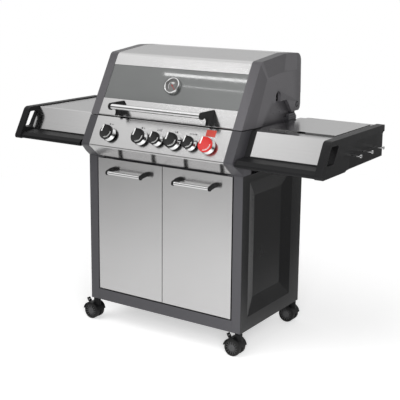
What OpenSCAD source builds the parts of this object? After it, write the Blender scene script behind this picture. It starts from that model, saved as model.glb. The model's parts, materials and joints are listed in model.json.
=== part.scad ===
// Gas barbecue grill: a cabinet cart on swivel casters, a sloping control panel,
// a hinged lid with a window, a plain side shelf and a shelf with a side burner.
// Millimetres. X runs along the front, Y runs from front to back, Z is up.

/* [Cart] */
// Width of the cart over its corner posts
cart_w = 754; // [700:2:820]
// Depth of the cart
cart_d = 484; // [460:2:540]
// Height of the cart's underside above the ground
cart_bottom = 96; // [90:1:110]
// Height of the cart's top above the ground
cart_top = 728; // [700:2:740]
// Width of a front post, seen from the front
post_w = 42; // [34:1:50]
// Depth of a post, and its width at the back
post_d = 34; // [24:1:44]
// Wall of the posts and rails
frame_wall = 1.5; // [1:0.5:3]
// Height of the cart's base pan
base_h = 48; // [40:1:60]
// Depth of the pressed field in a side panel
press_depth = 16; // [8:1:22]
// Width of the sloping border of that field
press_border = 66; // [40:1:80]
// Margin between the pressed field and the panel's front edge
press_front = 50; // [44:1:60]
// Margin between the pressed field and the panel's rear edge
press_back = 84; // [70:1:90]
// Margin between the pressed field and the panel's lower edge
press_low = 55; // [40:1:70]
// Margin between the pressed field and the panel's upper edge
press_high = 28; // [24:1:40]
// Thickness of the sheet steel
sheet = 1.2; // [1:0.1:2]

/* [Doors] */
// Thickness of a folded door
door_t = 18; // [14:1:22]
// Gap around the doors
door_gap = 5.5; // [3:0.5:6]
// Diameter of a door handle's tube
door_bar_d = 15; // [12:1:18]
// Length of a door handle's tube
door_bar_len = 172; // [120:2:220]
// Distance of the tube's axis from the door
door_bar_off = 38; // [30:1:50]
// Distance of the handle below the door's top
door_bar_drop = 50; // [40:1:80]
// Radius of a door's hinge pin
door_pin_r = 3; // [2.5:0.5:4]

/* [Control panel] */
// Height of the seam between the lid and the control panel
seam_z = 902; // [880:1:920]
// Angle of the front slope above the horizontal
slope = 61; // [58:0.5:64]
// Length of the control panel along the slope
panel_len = 134; // [124:1:140]
// Step from the cart's outer faces in to the body's side faces
body_inset = 1; // [0:0.5:3]
// Width of a cheek's front strip
cheek_strip = 40; // [32:1:50]
// Extra width of the body's side faces over the front strips, each side
cheek_flare = 10; // [6:1:14]
// Depth of the control panel's side faces
cheek_depth = 60; // [50:1:66]
// Gap along the seam
seam_gap = 4; // [3:0.5:6]
// Distance of the knobs below the seam, along the slope
knob_row = 76; // [70:1:82]
// Distance from one knob to the next
knob_pitch = 80; // [74:1:84]
// Radius of a large knob
knob_r = 26; // [22:1:29]
// Radius of a small knob
small_knob_r = 21; // [18:1:24]
// Radius of a valve spindle
spindle_r = 4; // [3:0.5:5]
// Travel of a spindle when its knob is pushed in
push_travel = 4; // [3:0.5:5]

/* [Firebox] */
// Room on each side of the firebox, between it and the lid's side wall
hinge_room = 12; // [10:0.5:20]
// Distance of the firebox's front wall behind the cart's front
firebox_front = 66; // [64:1:76]
// Depth of the firebox
firebox_d = 366; // [340:1:372]
// Depth of the firebox below the seam
firebox_drop = 146; // [130:1:160]
// Height of the cooking grates' upper face below the seam
grate_drop = 8; // [4:1:16]
// Diameter of a burner tube
burner_d = 40; // [30:1:46]

/* [Lid] */
// Length of the lid's front along the slope
lid_front = 268; // [250:1:280]
// Height of the lid's ridge above the seam
ridge_rise = 270; // [262:1:284]
// Distance of the lid's rear face behind the cart's front
lid_rear = 470; // [462:1:476]
// Thickness of a lid cheek's side wall
cheek_t = 14; // [10:1:18]
// Lower edge of the window, along the slope from the seam
window_low = 78; // [70:1:90]
// Upper edge of the window, along the slope from the seam
window_high = 230; // [210:1:238]
// Thickness of the window glass
glass_t = 4; // [3:0.5:5]
// Diameter of the lid handle's tube
lid_bar_d = 22; // [18:1:26]
// Length of the lid handle's tube
lid_bar_len = 438; // [380:2:480]
// Distance of the tube's axis from the lid's front
lid_bar_off = 68; // [56:1:72]
// Height of the tube's axis above the seam
lid_bar_rise = 50; // [44:1:60]
// Distance of the lid hinge in front of the lid's rear face
hinge_inset = 50; // [46:1:54]
// Height of the lid hinge above the seam
hinge_rise = 58; // [54:1:62]
// Radius of a lid hinge bolt
hinge_r = 5; // [4:0.5:6]
// Radius of the thermometer's bezel
thermo_r = 36; // [30:1:40]

/* [Shelves] */
// Reach of a side shelf's outer face from the middle of the grill
shelf_reach = 738; // [690:1:780]
// Width of a shelf's end cap
cap_w = 32; // [26:1:40]
// Height of the shelves above the ground
shelf_z = 903; // [890:1:910]
// Height of an end cap
cap_h = 131; // [120:1:140]
// Distance of the shelf's slope behind the control panel's slope
setback = 56; // [50:1:64]
// Drop of an end cap's rim to the sheet of the shelf
rim = 4; // [3:0.5:6]
// Length of a tool hook
hook_len = 41; // [30:1:50]
// Radius of a tool hook
hook_r = 3; // [2.5:0.5:5]
// Distance from one tool hook to the next
hook_pitch = 105; // [80:1:120]

/* [Side burner] */
// Width of the side burner's lid
burner_lid_w = 280; // [240:2:286]
// Depth of the side burner's lid
burner_lid_d = 318; // [280:2:324]
// Depth of the side burner's pan
pan_depth = 46; // [36:1:60]

/* [Casters] */
// Diameter of a caster wheel
wheel_d = 70; // [60:1:72]
// Width of one wheel of a twin-wheel caster
wheel_w = 19; // [15:1:22]
// Distance of the wheel axle behind the swivel axis
trail = 17; // [12:1:20]
// Distance of a swivel axis from the cart's outer faces
caster_inset = 17; // [14:1:30]

/* [Hidden] */
$fn = 48;
// Clearance between pieces that only meet
fit = 0.3;
// Radial clearance of a pin that turns in its bore
run = 0.05;

// Place of the frame's origin: the middle of the outline, on the ground
knob_reach = 30;
grip_inset = 2;
wheel_web = 14;
hood_gap = 1.5;
hood_half = wheel_web / 2 + wheel_w + hood_gap;
front_y = -(knob_row + knob_r - grip_inset) * cos(slope) - knob_reach * sin(slope);
rear_y = cart_d - caster_inset + hood_half;
origin_x = hook_len / 2;
origin_y = (front_y + rear_y) / 2;

// ---- helpers: outlines in the Y-Z plane ----
function unit(v) = v / norm(v);
function turn_left(v) = [-v[1], v[0]];

// Points of an arc that rounds corner b between a and c by radius r
function corner_arc(a, b, c, r, n) =
    let (u = unit(a - b), v = unit(c - b), cosine = max(-1, min(1, u * v)),
         half = acos(cosine) / 2, reach = r / tan(half), centre = b + unit(u + v) * r / sin(half),
         p = b + u * reach - centre, q = b + v * reach - centre,
         start = atan2(p[1], p[0]), raw = atan2(q[1], q[0]) - start,
         sweep = raw > 180 ? raw - 360 : (raw < -180 ? raw + 360 : raw))
    [for (k = [0 : n]) centre + r * [cos(start + sweep * k / n), sin(start + sweep * k / n)]];

// Closed outline from corners [y, z, radius]
function rounded(c, n = 6) = [for (i = [0 : len(c) - 1])
    let (a = c[(i + len(c) - 1) % len(c)], b = c[i], d = c[(i + 1) % len(c)])
    each b[2] > 0 ? corner_arc([a[0], a[1]], [b[0], b[1]], [d[0], d[1]], b[2], n)
                  : [[b[0], b[1]]]];

// Open path from corners [y, z, radius]
function bent(c, n = 4) = [for (i = [0 : len(c) - 1])
    let (b = c[i])
    each (i > 0 && i < len(c) - 1 && b[2] > 0)
        ? corner_arc([c[i - 1][0], c[i - 1][1]], [b[0], b[1]], [c[i + 1][0], c[i + 1][1]], b[2], n)
        : [[b[0], b[1]]]];

// Path p moved sideways by t, to its left
function shifted(p, t) = [for (i = [0 : len(p) - 1])
    let (m = len(p) - 1,
         d1 = i > 0 ? unit(p[i] - p[i - 1]) : unit(p[1] - p[0]),
         d2 = i < m ? unit(p[i + 1] - p[i]) : unit(p[m] - p[m - 1]),
         bisector = unit(turn_left(d1) + turn_left(d2)))
    p[i] + bisector * t / (bisector * turn_left(d1))];

function reversed(p) = [for (i = [len(p) - 1 : -1 : 0]) p[i]];

// Folded sheet: path p with thickness t to its left
function folded(p, t) = concat(p, reversed(shifted(p, t)));

// Outline in Y-Z, extruded along X from x0 to x1
module along_x(x0, x1) {
    translate([x0, 0, 0]) rotate([90, 0, 90]) linear_extrude(x1 - x0) children();
}

module box(lo, hi) {
    translate(lo) cube(hi - lo);
}

// Both sides: the child as it is, and its mirror image
module both_sides() {
    children();
    mirror([1, 0, 0]) children();
}

// The front slope's own frame: X across, Y up the slope from the seam, Z outward
module on_slope(x = 0, s = 0, off = 0) {
    translate([0, 0, seam_z]) rotate([slope, 0, 0]) translate([x, s, off]) children();
}

function slope_point(s, off = 0) =
    [s * cos(slope) - off * sin(slope), seam_z + s * sin(slope) + off * cos(slope)];

// Round bar from one point to another
module rod(a, b, r) {
    v = b - a;
    l = norm(v);
    translate(a) rotate([0, acos(v[2] / l), atan2(v[1], v[0])]) cylinder(r = r, h = l);
}

module placed() {
    translate([-origin_x, -origin_y, 0]) children();
}

steel = [0.78, 0.78, 0.77];
anthracite = [0.33, 0.33, 0.35];
black = [0.13, 0.13, 0.13];
chrome = [0.85, 0.85, 0.86];

// ---- cart ----
post_x = cart_w / 2;
post_in = post_x - post_w;
base_top = cart_bottom + base_h;
floor_rise = 12;
caster_x = post_x - caster_inset;
stem_r = 5.5;

foot_plate = 8;
top_rail_h = 26;
top_rail_w = 18;
top_rail_front = door_t + 10;
rail_x = post_in - fit;
stem_bore = stem_r + run;

// Post: a square tube with a foot plate that takes a caster's stem
module post(lo, hi, axis_y) {
    w = frame_wall;
    difference() {
        box([lo[0], lo[1], cart_bottom], [hi[0], hi[1], cart_top]);
        box([lo[0] + w, lo[1] + w, cart_bottom + foot_plate], [hi[0] - w, hi[1] - w, cart_top + 1]);
        translate([caster_x, axis_y, cart_bottom - 1]) cylinder(r = stem_bore, h = foot_plate + 2);
    }
}

// Box from (x0, y0) to (x1, y1) with an opening in its middle, shrunk by t all over
module ring(x, y0, y1, z0, z1, side, front, t) {
    difference() {
        box([-x + t, y0 + t, z0 + t], [x - t, y1 - t, z1 - t]);
        box([-x + side - t, y0 + front - t, z0 - 1], [x - side + t, y1 - front + t, z1 + 1]);
    }
}

// Ring of hollow rails between the posts, which carries the firebox
module top_rails() {
    z0 = cart_top - top_rail_h;
    y1 = cart_d - post_d - fit;
    difference() {
        ring(rail_x, top_rail_front, y1, z0, cart_top, post_d, top_rail_w, 0);
        ring(rail_x, top_rail_front, y1, z0, cart_top, post_d, top_rail_w, frame_wall);
    }
    both_sides() difference() {
        box([door_axis_x - door_block, 3, door_z1 + 1], [rail_x, top_rail_front, cart_top]);
        translate([door_axis_x, door_axis_y, door_z1]) cylinder(r = door_pin_r, h = 20);
    }
}

module cart_frame() {
    color(anthracite) {
        both_sides() {
            post([post_in, 0], [post_x - sheet, post_d], caster_inset);
            post([post_x - post_d, cart_d - post_d], [post_x - sheet, cart_d - sheet], cart_d - caster_inset);
        }
        top_rails();
    }
}

// Pan that closes the cart at the bottom; its front is the rail under the doors
module cart_base() {
    x = rail_x;
    y = cart_d - post_d - fit;
    z = cart_bottom + floor_rise;
    color(anthracite) {
        difference() {
            box([-x, 0, cart_bottom], [x, y, base_top]);
            box([-x + sheet, sheet, z + sheet], [x - sheet, y - sheet, base_top + 1]);
            box([-x + sheet, sheet, cart_bottom - 1], [x - sheet, y - sheet, z]);
        }
        both_sides() difference() {
            box([door_axis_x - door_block, sheet, z + sheet], [x - sheet, door_t, base_top]);
            translate([door_axis_x, door_axis_y, base_top - pin_seat]) cylinder(r = door_pin_r, h = 20);
        }
    }
}

// Side panel with a pressed field
module side_panel() {
    y0 = press_front;
    y1 = cart_d - press_back;
    z0 = cart_bottom + press_low;
    z1 = cart_top - press_high;
    b = press_border;
    d = press_depth;
    difference() {
        union() {
            box([post_x - sheet, 0, cart_bottom], [post_x, cart_d, cart_top]);
            hull() {
                box([post_x - sheet - 1, y0, z0], [post_x - sheet, y1, z1]);
                box([post_x - d - sheet, y0 + b, z0 + b], [post_x - d - sheet + 1, y1 - b, z1 - b]);
            }
        }
        hull() {
            box([post_x, y0 + sheet, z0 + sheet], [post_x + 1, y1 - sheet, z1 - sheet]);
            box([post_x - d, y0 + b, z0 + b], [post_x - d + 1, y1 - b, z1 - b]);
        }
    }
}

module side_panels() {
    color(black) both_sides() side_panel();
}

module back_panel() {
    color(black) box([-post_x + post_d + fit, cart_d - sheet, base_top + fit],
        [post_x - post_d - fit, cart_d, cart_top]);
}

// ---- doors ----
door_x0 = 1.5;
door_x1 = post_in - door_gap;
door_z0 = base_top + door_gap;
door_z1 = cart_top - door_gap;
door_axis_x = door_x1 - 12;
door_axis_y = door_t / 2;
door_block = 12;

pin_seat = 10;
pin_depth = door_block - 2;

module door_hinge_pins() {
    color(chrome) both_sides() translate([door_axis_x, door_axis_y, 0]) {
        translate([0, 0, base_top - pin_seat]) cylinder(r = door_pin_r, h = pin_seat + door_gap + pin_depth);
        translate([0, 0, door_z1 - pin_depth]) cylinder(r = door_pin_r, h = pin_depth + door_gap);
    }
}

// Right-hand door: a folded sheet tray, open at its back, with two hinge blocks
module door() {
    xb = door_axis_x - door_block;
    difference() {
        union() {
            difference() {
                box([door_x0, 0, door_z0], [door_x1, door_t, door_z1]);
                box([door_x0 + sheet, sheet, door_z0 + sheet],
                    [door_x1 - sheet, door_t + 1, door_z1 - sheet]);
            }
            for (z = [door_z0, door_z1 - door_block])
                box([xb, sheet / 2, z], [door_x1 - sheet / 2, door_t, z + door_block]);
        }
        translate([door_axis_x, door_axis_y, door_z0 - 1])
            cylinder(r = door_pin_r + run, h = door_block);
        translate([door_axis_x, door_axis_y, door_z1 - door_block + 1])
            cylinder(r = door_pin_r + run, h = door_block);
    }
}

door_bar_x = (door_x0 + door_x1) / 2;
door_bar_z = door_z1 - door_bar_drop;
// How far a handle's tube goes into its bracket, and the bracket's wall behind the tube's end
bar_grip = 4;
bar_end_t = 3;

module door_tube() {
    rod([door_bar_x - door_bar_len / 2, -door_bar_off, door_bar_z],
        [door_bar_x + door_bar_len / 2, -door_bar_off, door_bar_z], door_bar_d / 2);
}

// Bracket: a collar around the tube's end and an arm that rises to the door
module bar_bracket(x0, x1, bar_r, off) {
    collar = bar_r + 2.5;
    difference() {
        along_x(x0, x1) union() {
            translate([-off, 0]) circle(r = collar);
            polygon([[-off, collar], [-off + collar * 0.8, -collar * 0.6], [0, -collar * 0.2],
                     [0, collar * 1.7], [-off * 0.45, collar * 1.6]]);
        }
        along_x(x0 - 1, x1 - bar_end_t) translate([-off, 0]) circle(r = bar_r + run);
    }
}

module door_brackets() {
    reach = door_bar_len / 2;
    translate([door_bar_x, 0, door_bar_z]) both_sides()
        bar_bracket(reach - bar_grip, reach + bar_end_t, door_bar_d / 2, door_bar_off);
}

module left_door() { color(steel) mirror([1, 0, 0]) door(); }
module right_door() { color(steel) door(); }
module left_door_handle_tube() { color(chrome) mirror([1, 0, 0]) door_tube(); }
module right_door_handle_tube() { color(chrome) door_tube(); }
module left_door_handle_brackets() { color(black) mirror([1, 0, 0]) door_brackets(); }
module right_door_handle_brackets() { color(black) door_brackets(); }

// ---- control panel ----
firebox_z = seam_z - firebox_drop;
side_x = post_x - body_inset;
strip_x = side_x - cheek_flare;
panel_half = strip_x - cheek_strip;
lip = slope_point(-panel_len);
panel_foot = cart_top + 3;

knob_x = [-3, -1, 0, 1, 2, 3] * knob_pitch;
function is_small(k) = k == 2 || k == 4;
function knob_radius(k) = is_small(k) ? small_knob_r : knob_r;

module at_knob(k) {
    on_slope(knob_x[k], -knob_row, 0) children();
}

module control_panel() {
    top = slope_point(-seam_gap / 2);
    path = bent([[top[0] + 24, top[1], 0], [top[0], top[1], 2], [lip[0], lip[1], 8],
        [-1, panel_foot, 3], [14, panel_foot, 0]]);
    color(steel) difference() {
        along_x(-panel_half + fit, panel_half - fit) polygon(folded(path, sheet));
        for (k = [0 : 5]) at_knob(k) translate([0, 0, -20]) cylinder(r = spindle_r + 2, h = 40);
    }
}

// Outline of a control panel cheek, seen from the side
function cheek_outline() = let (top = slope_point(-seam_gap / 2)) rounded([
    [top[0], top[1], 0], [lip[0] - 1, lip[1], 10], [0, cart_top + fit, 0],
    [cheek_depth, cart_top + fit, 0], [cheek_depth, top[1], 0]]);

// Hollow behind a cheek's front strip and side face, open towards the middle and the back
function cheek_hollow() = let (w = cheek_wall, top = slope_point(-seam_gap / 2)) [
    [top[0] + w / sin(slope), top[1] - w], [lip[0] + w + 1, lip[1] - 1],
    [w, cart_top + w], [cheek_depth + 1, cart_top + w], [cheek_depth + 1, top[1] - w]];

cheek_wall = 3;

module panel_cheeks() {
    color(anthracite) both_sides() difference() {
        along_x(panel_half, side_x) polygon(cheek_outline());
        along_x(panel_half - 1, side_x - cheek_flare - cheek_wall) polygon(cheek_hollow());
        flare_cut(-panel_len - 40, panel_len + 60);
    }
}

// Cut that bevels the side faces from the front strips back to the full width
module flare_cut(s0, length) {
    deep = cheek_depth * sin(slope);
    on_slope(0, s0, 0) rotate([-90, 0, 0]) linear_extrude(length)
        polygon([[strip_x, 0], [strip_x, -90], [side_x + 20, -90], [side_x + 20, deep], [side_x, deep]]);
}

bezel_h = 13;

module knob_bezels() {
    color(chrome) for (k = [0 : 5]) at_knob(k) difference() {
        cylinder(r1 = knob_radius(k) + 6, r2 = knob_radius(k) - 2, h = bezel_h);
        translate([0, 0, -1]) cylinder(r1 = knob_radius(k) + 3, r2 = knob_radius(k) - 7, h = bezel_h);
        cylinder(r = spindle_r + 2, h = 2 * bezel_h);
    }
}

valve_r = 12;
valve_len = 34;
manifold_r = 11;
bore_end = -30;

// Gas inlet: a pipe down from the rail, an elbow and a spigot that points to the rear under the firebox
inlet_r = 6;
inlet_len = 40;
inlet_collar_r = 9;
inlet_collar_y = 14;
inlet_x = -knob_x[5] - 16;
inlet_z = (cart_top + firebox_z) / 2 + 1;

module gas_inlet() {
    top = slope_point(-knob_row, -valve_len - 6);
    elbow = [inlet_x, top[0], inlet_z];
    rod([inlet_x, top[0], top[1]], elbow, inlet_r);
    translate(elbow) sphere(r = inlet_r);
    rod(elbow, [inlet_x, inlet_collar_y + inlet_len, inlet_z], inlet_r);
    rod([inlet_x, inlet_collar_y - 6, inlet_z], [inlet_x, inlet_collar_y, inlet_z], inlet_collar_r);
}

// Gas rail with six valve bodies and its inlet
module gas_manifold() {
    x = knob_x[5] + 30;
    color([0.6, 0.6, 0.58]) difference() {
        union() {
            on_slope(0, -knob_row, -valve_len - 6) rod([-x, 0, 0], [x, 0, 0], manifold_r);
            for (k = [0 : 5]) at_knob(k) translate([0, 0, -valve_len])
                cylinder(r = valve_r, h = valve_len - sheet - fit);
            gas_inlet();
        }
        for (k = [0 : 5]) at_knob(k) translate([0, 0, bore_end]) cylinder(r = spindle_r + run, h = 40);
    }
}

spindle_top = bezel_h + 12;

module spindle(k) {
    color(chrome) at_knob(k) translate([0, 0, bore_end + push_travel + 2])
        cylinder(r = spindle_r, h = spindle_top - bore_end - push_travel - 2);
}

module spindle_1() { spindle(0); }
module spindle_2() { spindle(1); }
module spindle_3() { spindle(2); }
module spindle_4() { spindle(3); }
module spindle_5() { spindle(4); }
module spindle_6() { spindle(5); }

// Flat edge of a knob's grip: its direction from the middle, and its distance as a share of the radius
knob_flat_angle = 141;
knob_flat = 0.72;

// Knob: a skirt and a grip that is flat on one side, hollow over the spindle
module knob(k, shade) {
    r = knob_radius(k);
    skirt_z = bezel_h + push_travel + 0.6;
    color(shade) at_knob(k) difference() {
        union() {
            translate([0, 0, skirt_z]) cylinder(r = r, h = knob_reach - skirt_z - 7);
            intersection() {
                translate([0, 0, skirt_z]) cylinder(r = r - grip_inset, h = knob_reach - skirt_z);
                rotate([0, 0, knob_flat_angle - 180]) translate([-r * knob_flat, -r, 0])
                    cube([2 * r, 2 * r, knob_reach]);
            }
        }
        translate([0, 0, skirt_z - 1]) cylinder(r = spindle_r + run, h = spindle_top - skirt_z + 1);
    }
}

module knob_1() { knob(0, black); }
module knob_2() { knob(1, black); }
module knob_3() { knob(2, black); }
module knob_4() { knob(3, black); }
module knob_5() { knob(4, black); }
module knob_6() { knob(5, [0.8, 0.1, 0.1]); }

// ---- firebox ----
firebox_half = side_x - cheek_t - hinge_room;
firebox_back = firebox_front + firebox_d;
plate_t = 1.5;
hinge_y = lid_rear - hinge_inset;
hinge_z = seam_z + hinge_rise;
// Depth and radius of the recess that holds a hinge bolt's head, and top of the ridged block below
hinge_seat = 3;
hinge_seat_r = 13;
block_rise = 24;
// Raised part of the firebox's side plates: height, front and rear end, run of its front ramp
tab_top = seam_z + 82;
notch_front = 214;
notch_back = 331;
notch_ramp = 84;
// Top of the firebox's rear wall, just below the foot of the lid's rear face
rear_wall_top = tab_top + 14;
// Two screw holes in each raised side plate: places [Y, Z] and radius
screw_holes = [[269, seam_z + 34], [320, seam_z + 36]];
screw_hole_r = 2.2;

burner_z = firebox_z + 40;
drain_half = 60;
burner_knobs = [0, 1, 3];
stub_r = burner_d / 2 - 6;
tray_half = 150;
tray_h = 22;
tray_y0 = firebox_front + 40;
runner_t = 1.5;
tray_z = cart_top + 1 + runner_t + fit;
grate_seat = seam_z - 28;
ledge_w = 14;

// Tub with raised side plates; the slot in its floor drains into the tray below
module firebox() {
    x = firebox_half;
    rim_z = seam_z - seam_gap;
    leg_x = rail_x - post_d / 2;
    color([0.45, 0.45, 0.46]) {
        difference() {
            union() {
                difference() {
                    box([-x, firebox_front, firebox_z], [x, firebox_back, rim_z]);
                    box([-x + plate_t, firebox_front + plate_t, firebox_z + plate_t],
                        [x - plate_t, firebox_back - plate_t, seam_z]);
                }
                both_sides() along_x(x - plate_t, x) polygon([[firebox_front, rim_z - 20],
                    [firebox_front, rim_z], [notch_front - notch_ramp, rim_z], [notch_front, tab_top],
                    [notch_back, tab_top], [firebox_back, rear_wall_top], [firebox_back, rim_z - 20]]);
                box([-x, firebox_back - plate_t, rim_z - 20], [x, firebox_back, rear_wall_top]);
            }
            box([-drain_half, firebox_front + 60, firebox_z - 1],
                [drain_half, firebox_back - 60, firebox_z + plate_t + 1]);
            for (k = burner_knobs) translate([knob_x[k], firebox_front - 1, burner_z])
                rotate([-90, 0, 0]) cylinder(r = stub_r + fit, h = plate_t + 2);
            for (p = screw_holes) rod([-x - 1, p[0], p[1]], [x + 1, p[0], p[1]], screw_hole_r);
        }
        for (y = [firebox_front + plate_t, firebox_back - plate_t - ledge_w])
            box([-x + plate_t, y, grate_seat - plate_t - fit], [x - plate_t, y + ledge_w, grate_seat - fit]);
        both_sides() {
            box([leg_x, firebox_front + 20, cart_top], [leg_x + plate_t, firebox_back - 20, firebox_z]);
            box([tray_half + fit, tray_y0, tray_z - fit - runner_t],
                [tray_half + fit + runner_t, firebox_back, firebox_z]);
            box([tray_half - 12, tray_y0, tray_z - fit - runner_t],
                [tray_half + fit, firebox_back, tray_z - fit]);
        }
    }
}

// Free length behind a burner tube, and how far its air mouth stands out of the firebox
tube_end_gap = 30;
mouth_len = 18;
foot_t = 4;
foot_in = 50;

// Burner tube with its air mouth in front of the firebox and two feet
module burner_tube() {
    r = burner_d / 2;
    start = firebox_front + plate_t + fit;
    length = firebox_d - 2 * plate_t - tube_end_gap;
    foot = burner_z - firebox_z - plate_t;
    rotate([-90, 0, 0]) difference() {
        union() {
            translate([0, 0, start]) cylinder(r = r, h = length);
            translate([0, 0, firebox_front - mouth_len]) cylinder(r = stub_r, h = mouth_len + 2 * plate_t);
        }
        translate([0, 0, firebox_front - mouth_len - 1]) cylinder(r = stub_r - sheet, h = 2 * mouth_len);
        translate([0, 0, start + sheet]) cylinder(r = r - sheet, h = length - 2 * sheet);
    }
    for (y = [start + foot_in, start + length - foot_in])
        box([-r * 0.7, y, -foot], [r * 0.7, y + foot_t, -r * 0.78]);
}

turbo_w = 150;
turbo_h = 44;
tile_t = 12;
turbo_gap = 30;
turbo_leg = 30;

// Three burner tubes and a wide high-heat burner on two legs
module burners() {
    y0 = firebox_front + turbo_gap;
    y1 = firebox_back - turbo_gap;
    x = turbo_w / 2;
    z = turbo_h / 2;
    color(steel) for (k = burner_knobs) translate([knob_x[k], 0, burner_z]) burner_tube();
    color([0.7, 0.66, 0.6]) translate([knob_x[5], 0, burner_z]) {
        difference() {
            box([-x, y0, -z], [x, y1, z]);
            box([-x + sheet, y0 + sheet, -z - 1], [x - sheet, y1 - sheet, z - tile_t]);
        }
        for (y = [y0, y1 - foot_t])
            box([-turbo_leg, y, firebox_z + plate_t - burner_z], [turbo_leg, y + foot_t, foot_t - z]);
    }
}

tamer_z = burner_z + 40;

// Heat tents above the burner tubes, with their ends close to the tub's walls
module flame_tamers() {
    half = 52;
    rise = 14;
    drop = 20;
    edge = 3;
    color(steel) for (k = burner_knobs) translate([knob_x[k], firebox_back - plate_t - fit, 0])
        rotate([90, 0, 0]) linear_extrude(firebox_d - 2 * plate_t - 2 * fit)
            polygon([[-half, tamer_z - drop], [0, tamer_z + rise], [half, tamer_z - drop],
                    [half - edge, tamer_z - drop], [0, tamer_z + rise - edge], [-half + edge, tamer_z - drop]]);
}

grate_t = 12;
bar_t = 6;
grate_gap = 2;
grate_top = seam_z - grate_drop;
grate_bars = 11;

// Three cast grates side by side, each a frame with bars from front to back
module cooking_grates() {
    x_in = firebox_half - plate_t - grate_gap;
    y0 = firebox_front + plate_t + grate_gap;
    y1 = firebox_back - plate_t - grate_gap;
    w = (2 * x_in - 2 * grate_gap) / 3;
    z0 = grate_top - grate_t;
    color([0.2, 0.2, 0.2]) for (g = [0 : 2]) translate([-x_in + g * (w + grate_gap), 0, 0]) {
        for (b = [0 : grate_bars]) translate([b * (w - bar_t) / grate_bars, y0, z0])
            cube([bar_t, y1 - y0, grate_t]);
        for (y = [y0, (y0 + y1 - bar_t) / 2, y1 - bar_t]) translate([0, y, z0])
            cube([w, bar_t, grate_t - 3]);
        for (y = [y0, y1 - bar_t]) for (b = [0, w - 20])
            translate([b, y, grate_seat]) cube([20, bar_t, z0 - grate_seat]);
    }
}

rack_rod_r = 3;
rack_wire_r = 1.6;
rack_wires = 32;
rack_overhang = 20;
rack_z = tab_top + rack_rod_r + fit;
rack_rods = [notch_front + 10, notch_back - 10];

// Wire rack above the grates: two rods that lie on the firebox's side plates, and wires across them
module warming_rack() {
    reach = firebox_half + 4;
    x = firebox_half - 20;
    wire_z = rack_z + rack_rod_r + rack_wire_r / 2;
    color(chrome) {
        for (y = rack_rods) rod([-reach, y, rack_z], [reach, y, rack_z], rack_rod_r);
        for (w = [0 : rack_wires]) translate([-x + 2 * x * w / rack_wires, 0, wire_z])
            rod([0, rack_rods[0] - rack_overhang, 0], [0, rack_rods[1] + rack_overhang, 0], rack_wire_r);
    }
}

// Drip tray on two runners under the firebox; it pulls out to the rear
module grease_tray() {
    z1 = tray_z + tray_h;
    y1 = cart_d - 8;
    color(steel) {
        difference() {
            box([-tray_half, tray_y0, tray_z], [tray_half, y1, z1]);
            box([-tray_half + sheet, tray_y0 + sheet, tray_z + sheet], [tray_half - sheet, y1 - sheet, z1 + 1]);
        }
        box([-60, y1, tray_z], [60, y1 + 7, z1 - 4]);
    }
}

// Hinge brackets: a block behind each lid cheek and an ear that holds the bolt
module hinge_brackets() {
    x0 = firebox_half + fit;
    x1 = side_x - cheek_t - 1;
    head_x = side_x - hinge_seat + fit;
    low = seam_z - 24;
    top = seam_z + block_rise;
    front = hinge_y - 62;
    back = hinge_y + 3;
    color(anthracite) both_sides() {
        along_x(x0, x1) polygon([[front, low], [hinge_y + 10, low],
            [hinge_y + 12, hinge_z], [hinge_y + 6, hinge_z + 11], [hinge_y - 8, hinge_z + 11],
            [hinge_y - 13, hinge_z], [hinge_y - 30, seam_z + 14], [front, seam_z + 10]]);
        difference() {
            along_x(x1 - 1, side_x - 2)
                polygon([[front, low], [back, low], [back, top - 14], [back - 15, top], [front, top]]);
            for (k = [0 : 2]) translate([0, 0, top - 8 - 9 * k])
                box([side_x - 4, front - 1, -2], [side_x, back + 1, 2]);
        }
    }
    color(chrome) both_sides() {
        rod([x1 - 1, hinge_y, hinge_z], [head_x, hinge_y, hinge_z], hinge_r);
        rod([head_x - 0.1, hinge_y, hinge_z], [head_x + 4, hinge_y, hinge_z], hinge_r + 3);
    }
}

// ---- lid ----
lid_foot = slope_point(seam_gap / 2);
brow = slope_point(lid_front);
ridge_z = seam_z + ridge_rise;

// Bends of the lid: the brow above the front, the flat start of the roof, the rear edge
brow_y = brow[0] + 9;
brow_z = brow[1] + 14;
brow_r = 24;
roof_run = 205;
roof_y = brow[0] + roof_run;
roof_r = 260;
rear_step = 6;
rear_r = 36;
rear_foot_z = seam_z + 101;

// Outline of the lid without its lower edge's cut-outs
function lid_corners() = [
    [lid_foot[0], lid_foot[1], 0],
    [brow_y, brow_z, brow_r],
    [roof_y, ridge_z, roof_r],
    [lid_rear - rear_step, ridge_z - rear_step, rear_r],
    [lid_rear, rear_foot_z, 1]];

// Slot for a rotisserie spit: middle, radius, and rise of its round end over the side plates
spit_y = 261;
spit_r = 20;
spit_rise = 24;

// Height of the cheeks' lower edge at the hinges, above the seam
hinge_edge = 32;

// Flat field of a cheek's side face; around it the face slopes in to the outline
function cheek_field() = [[cheek_depth + 15, seam_z - 20, 0], [brow[0] + 40, brow[1] - 50, 14],
    [roof_y - 35, ridge_z - 70, 200], [lid_rear - 30, ridge_z - 70, 34], [lid_rear - 22, seam_z - 20, 0]];

// Body that a cheek's side is cut to: the whole outline, drawn in to the field at the side face
module cheek_form() {
    low = slope_point(-40);
    skin = 0.1;
    hull() {
        along_x(0, strip_x)
            polygon(rounded(concat([[low[0], low[1], 0]], lid_corners(), [[lid_rear, low[1], 0]])));
        along_x(side_x - skin, side_x) polygon(rounded(cheek_field()));
    }
}

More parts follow.
